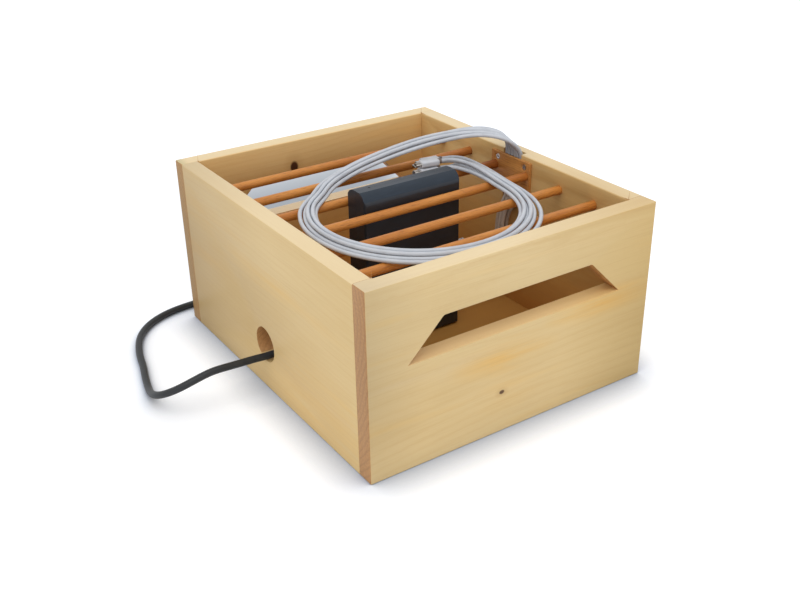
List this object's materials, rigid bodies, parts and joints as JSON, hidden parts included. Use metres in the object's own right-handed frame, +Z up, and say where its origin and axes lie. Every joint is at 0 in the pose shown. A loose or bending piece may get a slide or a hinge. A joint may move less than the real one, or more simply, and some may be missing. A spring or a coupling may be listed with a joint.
{
  "type": "laptop charging box",
  "caption": "Open pine crate with handle slots that stands laptops between dowels; a charger in the middle slot feeds them through white leads ringed on top.",
  "frame": {"origin": "on the table, under the middle of the crate", "axes": "+X to the right seen from the front, +Y to the back, +Z up; the front wall is at -Y"},
  "size_m": [0.4689, 0.5501, 0.2329],
  "materials": {
    "pine": "oiled",
    "red_wood": "oiled",
    "steel": "bright",
    "black_plastic": "satin",
    "board_green": "satin",
    "copper": "enamelled wire",
    "can": "gloss",
    "aluminium": "satin",
    "light": "clear",
    "black_rubber": "matte",
    "white_lead": "satin",
    "white_plastic": "satin"
  },
  "bodies": {
    "crate": {"front_panel": "pine", "back_panel": "pine", "left_panel": "pine", "right_panel": "pine", "bottom_board": "pine", "divider_rod_1": "red_wood", "divider_rod_2": "red_wood", "divider_rod_3": "red_wood", "divider_rod_4": "red_wood", "divider_rod_5": "red_wood", "divider_rod_6": "red_wood", "corner_pins": "pine", "lead_cover_plate": "red_wood", "cover_plate_screws": "steel", "lead_riser_1": "white_lead", "lead_riser_2": "white_lead", "lead_riser_3": "white_lead", "lead_riser_4": "white_lead", "lead_riser_5": "white_lead", "lead_riser_6": "white_lead", "lead_loop_1": "white_lead", "lead_loop_2": "white_lead", "lead_loop_3": "white_lead", "lead_loop_4": "white_lead", "lead_loop_5": "white_lead", "lead_loop_6": "white_lead", "lead_plug_1": "white_plastic", "lead_plug_2": "white_plastic", "lead_plug_3": "white_plastic", "lead_plug_4": "white_plastic", "lead_plug_5": "white_plastic", "lead_plug_6": "white_plastic", "lead_plug_tips": "steel", "mains_lead_inside": "black_rubber", "mains_lead_outside": "black_rubber", "mains_lead_coil": "black_rubber", "mains_lead_end": "black_rubber", "mains_lead_tie": "black_rubber", "mains_plug_relief": "black_rubber", "mains_plug": "black_rubber", "mains_plug_pins": "steel"},
    "charger": {"charger_front_shell": "black_plastic", "charger_rear_shell": "black_plastic", "charger_circuit_board": "board_green", "charger_transformer": "copper", "charger_capacitors": "can", "charger_heat_sink": "aluminium", "charger_output_sockets": "steel", "charger_mains_inlet": "black_plastic", "charger_status_light": "light", "charger_shell_screws": "steel", "charger_feet": "black_rubber", "charger_end_plugs": "white_plastic", "mains_connector": "black_rubber", "mains_connector_relief": "black_rubber"}
  },
  "joints": [
    {"name": "charger_lift", "type": "slide", "parent": "crate", "child": "charger", "axis": [0, 0, 1], "range_m": [0, 0.045], "deforming": ["lead_riser_1", "lead_riser_2", "lead_riser_3", "lead_riser_4", "lead_riser_5", "lead_riser_6", "mains_lead_inside"]}
  ]
}
